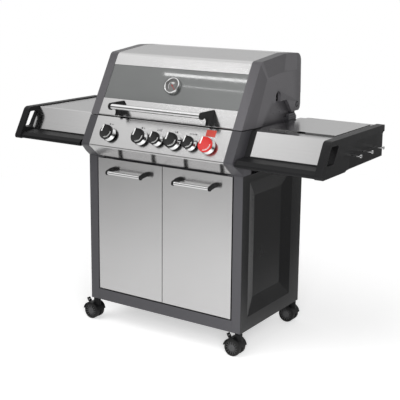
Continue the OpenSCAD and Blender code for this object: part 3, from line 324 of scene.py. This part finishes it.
def smooth(piece):
    piece.modifiers.new("smooth", "NODES").node_group = SMOOTH


def soften(piece, width, segments=2, weld=True):
    """Rounds the hard edges of a piece by a width in millimetres."""
    if weld:
        piece.modifiers.new("weld", "WELD").merge_threshold = WELD_DISTANCE
        flat = piece.modifiers.new("flat_faces", "DECIMATE")
        flat.decimate_type = "DISSOLVE"
        flat.angle_limit = FLAT_ANGLE
    bevel = piece.modifiers.new("rounded_edges", "BEVEL")
    bevel.width = width * MM
    bevel.segments = segments
    bevel.limit_method = "ANGLE"
    bevel.angle_limit = BEVEL_ANGLE
    smooth(piece)
    piece.modifiers.new("normals", "WEIGHTED_NORMAL").keep_sharp = True


# Widths of the rounded edges in millimetres. The wide ones have three segments.
EDGE_WIDTH = {
    "cart_frame": 1.6, "cart_base": 1.2, "side_panels": 0.5, "left_door": 0.5, "right_door": 0.5,
    "left_door_handle_brackets": 2.0, "right_door_handle_brackets": 2.0,
    "control_panel": 0.4, "panel_cheeks": 1.8, "lid_cheeks": 2.0, "lid_roof": 0.4,
    "lid_band": 0.4, "lid_handle_brackets": 3.0, "hinge_brackets": 1.0,
    "left_shelf": 0.4, "right_shelf": 0.4, "shelf_end_caps": 1.6, "shelf_front_rails": 1.6,
    "side_burner_lid": 0.8, "cooking_grates": 1.2,
    "left_front_caster": 1.5, "right_front_caster": 1.5, "left_rear_caster": 1.5,
    "right_rear_caster": 1.5, "left_front_brake": 0.7, "right_front_brake": 0.7}
DEFAULT_EDGE = 0.4
WIDE_EDGE = 1.5
# Nodes whose paint is a little paler than their slot's
PALER_PAINT = {"firebox": "cast_enamel"}

for row in frame["record"]["subparts"]:
    name = row["node"]
    node = nodes[name]
    node.data.materials.clear()
    node.data.materials.append(MATERIALS[PALER_PAINT.get(name, row["material_slot"])])
    width = EDGE_WIDTH.get(name, DEFAULT_EDGE)
    soften(node, width, 3 if width > WIDE_EDGE else 2)

# ---- building small pieces -------------------------------------------------------------------

def make_piece(name, parts, place, body, material, replaces=(), edge=0.0):
    """One mesh from (points, faces) parts, set at a place and carried by a body."""
    points, faces = [], []
    for part_points, part_faces in parts:
        start = len(points)
        points += [place @ Vector(p) for p in part_points]
        faces += [[start + i for i in face] for face in part_faces]
    mesh = bpy.data.meshes.new(name)
    mesh.from_pydata(points, [], faces)
    mesh.materials.append(MATERIALS[material])
    piece = bpy.data.objects.new(name, mesh)
    bpy.context.scene.collection.objects.link(piece)
    if edge:
        soften(piece, edge, weld=False)
    else:
        smooth(piece)
    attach(piece, body)
    if replaces:
        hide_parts(*replaces)


def polar(r, degrees):
    """Point of the XY plane at a distance and an angle in degrees."""
    return r * math.cos(math.radians(degrees)), r * math.sin(math.radians(degrees))


def stacked(outlines):
    """Closed skin over outlines of equal length, each a list of points."""
    count = len(outlines[0])
    points = [p for outline in outlines for p in outline]
    faces = []
    for ring in range(len(outlines) - 1):
        a, b = ring * count, (ring + 1) * count
        faces += [[a + i, a + (i + 1) % count, b + (i + 1) % count, b + i] for i in range(count)]
    faces.append(list(range(count))[::-1])
    faces.append(list(range(len(points) - count, len(points))))
    return points, faces


def lathe(steps, count=48, axis="Z"):
    """Turned shape from (radius, height) steps, closed at both ends."""
    points, faces = stacked([[(*polar(r, 360 * i / count), z) for i in range(count)]
                             for r, z in steps])
    if axis == "Y":
        points = [(x, -z, y) for x, y, z in points]
    return points, faces


def slab(outline, z0, z1):
    """Plate with a flat outline of (x, y) points."""
    return stacked([[(x, y, z0) for x, y in outline], [(x, y, z1) for x, y in outline]])


def rectangle(x0, y0, x1, y1):
    return [(x0, y0), (x1, y0), (x1, y1), (x0, y1)]


def bar(x0, y0, x1, y1, width, z0, z1):
    """Straight bar from one point to another."""
    along = Vector((x1 - x0, y1 - y0)).normalized() * width / 2
    side = Vector((-along.y, along.x))
    corners = [(x0 - side.x, y0 - side.y), (x1 - side.x, y1 - side.y),
               (x1 + side.x, y1 + side.y), (x0 + side.x, y0 + side.y)]
    return slab(corners, z0, z1)


def sector(r0, r1, start, end, z0, z1, steps=16):
    """Flat arc between two radii and two angles in degrees."""
    angles = [start + (end - start) * i / steps for i in range(steps + 1)]
    outline = [polar(r1, a) for a in angles] + [polar(r0, a) for a in reversed(angles)]
    return slab(outline, z0, z1)


def drop(direction, reach, count=48):
    """Unit circle drawn out to a tip, in a direction in degrees, at a distance in radii."""
    half = math.degrees(math.acos(1 / reach))
    angles = [direction + half + (360 - 2 * half) * i / count for i in range(count + 1)]
    return [polar(1, a) for a in angles] + [polar(reach, direction)]


# ---- control knobs ---------------------------------------------------------------------------

# The grips are wider than the model's solids, as in the photo, and a little lower, so that they
# stay inside the model's box
GRIP_R = [30.5, 30.5, 25.5, 30.5, 25.5, 30.5]
KNOB_TOP = 27
RED_KNOB = 5
TIP_DIRECTION = 120
TIP_REACH = 1.22
# Grip from its underside to the middle of its dished face: share of its radius, depth from its top
GRIP_PROFILE = [(1.0, 8.0), (1.0, 1.1), (0.985, 0.4), (0.955, 0.0), (0.92, 0.1), (0.84, 0.9),
                (0.6, 1.5), (0.25, 1.75), (0.04, 1.8)]
# White pointer along the tip's left edge: its ends and its width as shares of the grip's radius
POINTER = (-0.73, 0.04, -0.6, 0.98)
POINTER_WIDTH = 0.17
# Painted highlight on the dished face's lower-right rim, a pale arc with ticks: shares of the
# grip's radius, and angles in degrees
HIGHLIGHT_ARC_R = (0.73, 0.8)
HIGHLIGHT_ARC_ENDS = (-100, 10)
HIGHLIGHT_TICK_R = (0.6, 0.7)
HIGHLIGHT_TICK_WIDTH = 1.2
HIGHLIGHT_TICK_ANGLES = [-80 + 16 * i for i in range(6)]


def make_knob(index):
    r = SKIRT_R[index]
    grip = GRIP_R[index]
    name = "knob_%d" % (index + 1)
    place = slope_place(KNOB_X[index], -KNOB_ROW)
    paint = "gloss_red" if index == RED_KNOB else "gloss_black"
    skirt = lathe([(6, SKIRT_Z), (r - 0.6, SKIRT_Z), (r, SKIRT_Z + 0.8), (r, SKIRT_TOP - 1.2),
                   (r - 0.8, SKIRT_TOP), (6, SKIRT_TOP)])
    outline = drop(TIP_DIRECTION, TIP_REACH)
    rings = [[(x * share * grip, y * share * grip, KNOB_TOP - depth) for x, y in outline]
             for share, depth in GRIP_PROFILE]
    make_piece(name + "_grip", [skirt, stacked(rings)], place, name, paint, (name,))
    pointer = bar(*[grip * share for share in POINTER], grip * POINTER_WIDTH,
                  KNOB_TOP - 1.5, KNOB_TOP + 0.3)
    make_piece(name + "_pointer", [pointer], place, name, "white_print", edge=0.3)
    # The pale arc and ticks are a painted highlight where the dished face's rim catches the light
    marks = [sector(*[grip * share for share in HIGHLIGHT_ARC_R], *HIGHLIGHT_ARC_ENDS, KNOB_TOP - 2.4, KNOB_TOP - 0.8)]
    marks += [bar(*polar(grip * HIGHLIGHT_TICK_R[0], a), *polar(grip * HIGHLIGHT_TICK_R[1], a), HIGHLIGHT_TICK_WIDTH,
                  KNOB_TOP - 2.8, KNOB_TOP - 1.1) for a in HIGHLIGHT_TICK_ANGLES]
    make_piece(name + "_marks", marks, place, name, "pale_print_and_painted_highlight")


for index in range(len(KNOB_X)):
    make_knob(index)

# ---- print and tag on the control panel ------------------------------------------------------

# Small burner fields above each knob: centre across and up, width and height
SYMBOLS = {
    0: [(-10, 0, 5, 7), (-1, 0, 3, 5), (5, 0, 3, 5)],
    1: [(-6, 0, 6, 7), (4, 0, 3, 5)],
    2: [(0, 4, 26, 1.2), (-9, -2, 3, 5), (-3, -2, 3, 5), (3, -2, 3, 5), (9, -2, 3, 5)],
    3: [(-5, 0, 3, 5), (4, 0, 6, 7)],
    4: [(-14, 0, 3, 5), (-7, 0, 3, 5), (0, 0, 3, 5), (7, 0, 3, 5), (14, 0, 5, 6)],
}
SYMBOL_S = -34
PRINT = 0.15
# Plain red tag above the last knob: its edges on the slope, its cut corners, its thickness
TAG = (215, -36, 259, -9)
TAG_CORNER = 1
TAG_THICK = 0.3


def make_symbols():
    parts = []
    for index, fields in SYMBOLS.items():
        for x, s, width, height in fields:
            x, s = KNOB_X[index] + x, SYMBOL_S + s
            outline = rectangle(x - width / 2, s - height / 2, x + width / 2, s + height / 2)
            parts.append(slab(outline, 0.0, PRINT))
    make_piece("knob_symbols", parts, slope_place(0, 0), "cart", "dark_print")


def make_tag():
    x0, s0, x1, s1 = TAG
    c = TAG_CORNER
    outline = [(x0, s0 + c), (x0 + c, s0), (x1 - c, s0), (x1, s0 + c),
               (x1, s1 - c), (x1 - c, s1), (x0 + c, s1), (x0, s1 - c)]
    make_piece("panel_tag", [slab(outline, 0.0, TAG_THICK)], slope_place(0, 0), "cart", "tag_red",
               edge=0.1)


make_symbols()
make_tag()

# ---- thermometer -----------------------------------------------------------------------------

# Flared ring from its back to the dial's edge: radius, height above the window
RING = [(10, -1.0), (34.5, -1.0), (36, 0.5), (36, 3.0), (35.4, 7.0), (34.6, 11.0), (33.6, 13.6),
        (32.0, 14.9), (30.4, 14.8), (29.0, 13.6), (28.4, 12.0), (28.2, 6.2), (10, 6.2)]
DIAL_Z = 8.3
DIAL_R = 28
# Dial marks clockwise from the first angle, in degrees. Every third one is long.
SCALE_START = 225
SCALE_END = -45
SCALE_STEP = 10
LONG_MARK = 3
# Pale arcs on the dial's face: radii, angles, steps
DIAL_ARCS = [(10.0, 15.0, 55, 125, 16), (6.0, 8.5, 60, 110, 12), (17.0, 18.5, 130, 230, 24)]


def make_thermometer():
    place = slope_place(0, THERMO_S)
    make_piece("thermometer_ring", [lathe(RING, 72)], place, "lid", "chrome",
               ("thermometer_case",))
    height = (DIAL_Z, DIAL_Z + PRINT)
    marks = [sector(DIAL_R - 4.4, DIAL_R - 3.4, SCALE_START, SCALE_END, *height, 48)]
    for step in range((SCALE_START - SCALE_END) // SCALE_STEP + 1):
        a = SCALE_START - SCALE_STEP * step
        length, width = (6, 1.4) if step % LONG_MARK == 0 else (3.5, 0.8)
        outer = DIAL_R - 4
        marks.append(bar(*polar(outer - length, a), *polar(outer, a), width, *height))
    make_piece("thermometer_marks", marks, place, "lid", "dark_print")
    pale = [sector(r0, r1, start, end, *height, steps) for r0, r1, start, end, steps in DIAL_ARCS]
    make_piece("thermometer_field", pale, place, "lid", "pale_print_and_painted_highlight")


make_thermometer()

# ---- casters ---------------------------------------------------------------------------------

# Tyre from its inner face to the recess of its disc: depth below the wheel's radius, place along
# the axle from the inner face (first list) and from the outer face (second list)
TYRE_INNER = [(2.5, 0), (0.7, 0.8), (0, 2.5)]
TYRE_OUTER = [(0, 4.5), (0.8, 1.8), (3, 0.3), (5, 0), (8.8, 0), (9.4, 0.7), (9.4, 5)]
# Hub: radius, place along the axle from the outer face
HUB = [(3, 5.5), (14, 5.5), (14, 1.6), (13.2, 1), (1, 0.8)]
AXLE_R = 4
TEETH = 14
TOOTH_R = (13, 26)
TOOTH_WIDTH = 3.0


def mirrored(part, side):
    """The part with its faces turned over where it stands on the mirrored side."""
    points, faces = part
    return points, faces if side > 0 else [face[::-1] for face in faces]


def turned(steps, side, count):
    """Part turned about the axle on one side of the caster."""
    return mirrored(lathe([(r, along * side) for r, along in steps], count, "Y"), side)


def make_wheels(name, x, y):
    """Twin wheels on their axle, with a toothed ring and a plain hub on each outer disc."""
    place = upright_place(x - TRAIL, y, WHEEL_R)
    tyre = ([(5, WHEEL_IN)] + [(WHEEL_R - depth, WHEEL_IN + along) for depth, along in TYRE_INNER]
            + [(WHEEL_R - depth, WHEEL_OUT - along) for depth, along in TYRE_OUTER]
            + [(3, WHEEL_OUT - 5)])
    hub = [(r, WHEEL_OUT - along) for r, along in HUB]
    tyres = [lathe([(AXLE_R, -WHEEL_IN - 1), (AXLE_R, WHEEL_IN + 1)], 24, "Y")]
    discs = []
    for side in (-1, 1):
        tyres.append(turned(tyre, side, 56))
        discs.append(turned(hub, side, 40))
        for tooth in range(TEETH):
            a = 360 * tooth / TEETH
            points, faces = bar(*polar(TOOTH_R[0], a), *polar(TOOTH_R[1], a), TOOTH_WIDTH,
                                WHEEL_OUT - 5.2, WHEEL_OUT - 1.0)
            points = [(px, -pz * side, py) for px, py, pz in points]
            discs.append(mirrored((points, faces), side))
    make_piece(name + "_tyres", tyres, place, name, "wheel_rubber", (name,))
    make_piece(name + "_discs", discs, place, name, "wheel_grey")


for side_name, side in (("left", -1), ("right", 1)):
    for end_name, y in CASTER_Y.items():
        make_wheels("%s_%s_wheels" % (side_name, end_name), side * CASTER_X, y)

# ---- strips between the shelves' slopes and their front rails --------------------------------

# How far a strip reaches, in metres: in front of the rail's rear edge and behind it, below the
# rail's top and above the slope's foot, and short of the shelf's inner and outer end
SEAL_FRONT, SEAL_BACK = 0.001, 0.0012
SEAL_BELOW, SEAL_ABOVE = 0.002, 0.0022
SEAL_INNER, SEAL_OUTER = 0.001, 0.007


def make_seals():
    """Black strips that close the joint between each shelf's slope and the rail under it."""
    rail_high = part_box("shelf_front_rails")[1]
    for side, ends in (("left", (SEAL_OUTER, SEAL_INNER)), ("right", (SEAL_INNER, SEAL_OUTER))):
        low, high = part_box(side + "_shelf")
        outline = rectangle(low[0] + ends[0], rail_high[1] - SEAL_FRONT,
                            high[0] - ends[1], rail_high[1] + SEAL_BACK)
        strip = slab(outline, rail_high[2] - SEAL_BELOW, low[2] + SEAL_ABOVE)
        make_piece(side + "_rail_seal", [strip], Matrix(), "cart", "black_plastic")


make_seals()

# ---- camera ----------------------------------------------------------------------------------

CAMERA_PLACE = Vector((2.0835, -3.1299, 1.479))
CAMERA_YAW = math.radians(33.37)
CAMERA_PITCH = math.radians(12.07)
CAMERA_ROLL = math.radians(0.55)
CAMERA_LENS = 82.77
CAMERA_SENSOR = 36.0
CAMERA_SHIFT = -0.075


def make_camera():
    data = bpy.data.cameras.new("camera")
    data.lens = CAMERA_LENS
    data.sensor_width = CAMERA_SENSOR
    data.shift_y = CAMERA_SHIFT
    camera = bpy.data.objects.new("camera", data)
    bpy.context.scene.collection.objects.link(camera)
    ahead = Vector((-math.sin(CAMERA_YAW) * math.cos(CAMERA_PITCH),
                    math.cos(CAMERA_YAW) * math.cos(CAMERA_PITCH), -math.sin(CAMERA_PITCH)))
    right = Vector((math.cos(CAMERA_YAW), math.sin(CAMERA_YAW), 0))
    up = right.cross(ahead)
    right, up = (right * math.cos(CAMERA_ROLL) + up * math.sin(CAMERA_ROLL),
                 up * math.cos(CAMERA_ROLL) - right * math.sin(CAMERA_ROLL))
    turn = Matrix((right, up, -ahead)).transposed()
    camera.matrix_world = Matrix.Translation(CAMERA_PLACE) @ turn.to_4x4()
    bpy.context.scene.camera = camera


# ---- floor and world -------------------------------------------------------------------------
# What the camera and plain light see is white and even. What metal and glass mirror is a studio
# with darker and brighter parts, given below as (place, level) points: the distance from the
# object or an X in metres for the floor, a Z or X of the ray's direction for the world.

FLOOR_SIZE = 60
FLOOR_COLOUR = (0.82, 0.82, 0.82, 1)
# The camera sees the floor fade to plain white between these distances
FLOOR_FADE = [(1.3, 1.0), (3.2, 0.0)]
FLOOR_FRONT = [(1.0, 0.95), (3.5, 0.97), (5.5, 0.55), (8.0, 0.1)]
FLOOR_FRONT_X = [(-2.2, 0.7), (-1.2, 0.95), (-0.3, 1.1)]
FLOOR_CORNER = [(3.0, 0.22), (5.0, 0.32), (7.0, 0.95)]
# X from which the dark corner behind the object begins, and Y where front turns to back
CORNER_X = (0.3, 0.9)
FLOOR_TURN = (-0.1, 0.4)
# Light that the floor adds where the camera sees it and where metal does
CAMERA_LIFT = 0.5
GLOSSY_LIFT = 0.25

WORLD_FRONT = [(0.0, 0.08), (0.2, 0.08), (0.4, 0.72), (0.54, 0.8), (0.6, 1.05), (0.65, 1.33),
               (0.78, 1.1), (0.95, 0.8)]
WORLD_FRONT_X = [(-0.7, 0.66), (-0.65, 0.84), (-0.62, 1.02), (-0.57, 0.93), (-0.5, 0.98),
                 (-0.45, 0.82), (-0.42, 0.66), (-0.3, 0.8), (-0.1, 1.0)]
WORLD_BACK = [(0.0, 0.8), (0.12, 0.5), (0.2, 0.6), (0.44, 0.69), (0.7, 0.9), (0.85, 1.1)]
WORLD_TURN = (-0.15, 0.25)
# Strength of the world's even light on the object
AMBIENT = 0.37


def make_floor():
    """Pale floor, which keeps the object's shadow."""
    bpy.ops.mesh.primitive_plane_add(size=FLOOR_SIZE, location=(0, 0, 0))
    floor = bpy.context.object
    floor.name = "floor"
    material, tree, shader = new_material("floor")
    shader.inputs["Roughness"].default_value = 0.9
    shader.inputs["Specular IOR Level"].default_value = 0.0
    path = add_node(tree, "ShaderNodeLightPath").outputs
    seen = path["Is Camera Ray"]
    glossy = path["Is Glossy Ray"]
    place = add_node(tree, "ShaderNodeTexCoord").outputs["Object"]
    distance = add_node(tree, "ShaderNodeVectorMath", {0: place}, operation="LENGTH").outputs[1]
    x, y, _ = add_node(tree, "ShaderNodeSeparateXYZ", {0: place}).outputs
    near = profile(tree, distance, FLOOR_FADE)
    front = times(tree, profile(tree, distance, FLOOR_FRONT), profile(tree, x, FLOOR_FRONT_X))
    corner = profile(tree, distance, FLOOR_CORNER)
    back = mix(tree, spread(tree, x, 0.0, 1.0, *CORNER_X), 1.0, corner)
    studio = mix(tree, spread(tree, y, 0.0, 1.0, *FLOOR_TURN), front, back)
    share = mix(tree, seen, mix(tree, glossy, 1.0, studio), near)
    colour = mix_colour(tree, share, (0, 0, 0, 1), FLOOR_COLOUR)
    tree.links.new(colour, shader.inputs["Base Color"])
    far = spread(tree, near, 1.0, CAMERA_LIFT, 0.0, 1.0)
    lift = add(tree, times(tree, seen, far),
               times(tree, glossy, times(tree, studio, GLOSSY_LIFT)))
    shader.inputs["Emission Color"].default_value = (1, 1, 1, 1)
    tree.links.new(lift, shader.inputs["Emission Strength"])
    floor.data.materials.append(material)


def make_world():
    """White behind the object, plain light on it, and the studio in its reflections."""
    world = bpy.data.worlds.new("world")
    bpy.context.scene.world = world
    world.use_nodes = True
    tree = world.node_tree
    path = add_node(tree, "ShaderNodeLightPath").outputs
    direction = add_node(tree, "ShaderNodeTexCoord").outputs["Generated"]
    x, y, z = add_node(tree, "ShaderNodeSeparateXYZ", {0: direction}).outputs
    front = times(tree, profile(tree, z, WORLD_FRONT), profile(tree, x, WORLD_FRONT_X))
    back = profile(tree, z, WORLD_BACK)
    studio = mix(tree, spread(tree, y, 0.0, 1.0, *WORLD_TURN), front, back)
    level = mix(tree, path["Is Glossy Ray"], AMBIENT, studio)
    level = mix(tree, path["Is Camera Ray"], level, 1.0)
    background = tree.nodes["Background"]
    background.inputs["Color"].default_value = (1, 1, 1, 1)
    tree.links.new(level, background.inputs["Strength"])


# ---- lamps -----------------------------------------------------------------------------------

# Point that the strip lamps face, in the model's millimetres
STRIP_TARGET = (0, 0, 1100)
# Distance of the strip lamps from the window in metres
STRIP_DISTANCE = 3.0


def add_lamp(name, kind, **settings):
    """Lamp of a kind, with settings of its data."""
    data = bpy.data.lights.new(name, kind)
    for key, value in settings.items():
        setattr(data, key, value)
    lamp = bpy.data.objects.new(name, data)
    bpy.context.scene.collection.objects.link(lamp)
    return lamp


def make_sun(name, direction, power, spread_angle):
    """Soft even light from a direction, which metal and glass don't mirror."""
    lamp = add_lamp(name, "SUN", energy=power, angle=math.radians(spread_angle))
    lamp.rotation_euler = Vector(direction).to_track_quat("Z", "Y").to_euler()
    lamp.visible_glossy = False


def make_soft_box(name, place, target, size, power):
    """Square soft box near the object, which metal and glass don't mirror."""
    lamp = add_lamp(name, "AREA", size=size, energy=power)
    lamp.location = place
    lamp.rotation_euler = (Vector(place) - Vector(target)).to_track_quat("Z", "Y").to_euler()
    lamp.visible_camera = False
    lamp.visible_glossy = False


def mirrored_point(x, s):
    """Point that the camera sees mirrored in the lid's window, at a place on the slope."""
    place = slope_place(x, s)
    point = place.translation
    normal = (place.to_3x3() @ Vector((0, 0, 1))).normalized()
    ray = (point - CAMERA_PLACE).normalized()
    return point + (ray - 2 * ray.dot(normal) * normal) * STRIP_DISTANCE


def make_strip(name, start, end, height, radiance):
    """Long strip lamp that only mirrors show, seen from one place on the slope to another."""
    left, right = mirrored_point(*start), mirrored_point(*end)
    length = (right - left).length
    lamp = add_lamp(name, "AREA", shape="RECTANGLE", size=length, size_y=height,
                    energy=radiance * math.pi * length * height)
    middle = (left + right) / 2
    along = (right - left).normalized()
    ahead = (at(*STRIP_TARGET) - middle).normalized()
    up = along.cross(ahead).normalized()
    turn = Matrix((along, up, along.cross(up))).transposed()
    lamp.matrix_world = Matrix.Translation(middle) @ turn.to_4x4()
    lamp.visible_camera = False
    lamp.visible_diffuse = False
    lamp.visible_transmission = False


make_camera()
make_floor()
make_world()
make_sun("key", (-0.3, -0.45, 0.8), 1.0, 50)
make_soft_box("fill", (1.3, -1.7, 0.9), (0.25, -0.2, 0.3), 0.8, 24.0)
make_strip("window_strip", (-63, 206), (345, 203), 0.021, 5.0)
make_strip("window_line", (30, 160), (345, 157), 0.007, 2.5)

bpy.context.scene.view_settings.view_transform = "Standard"
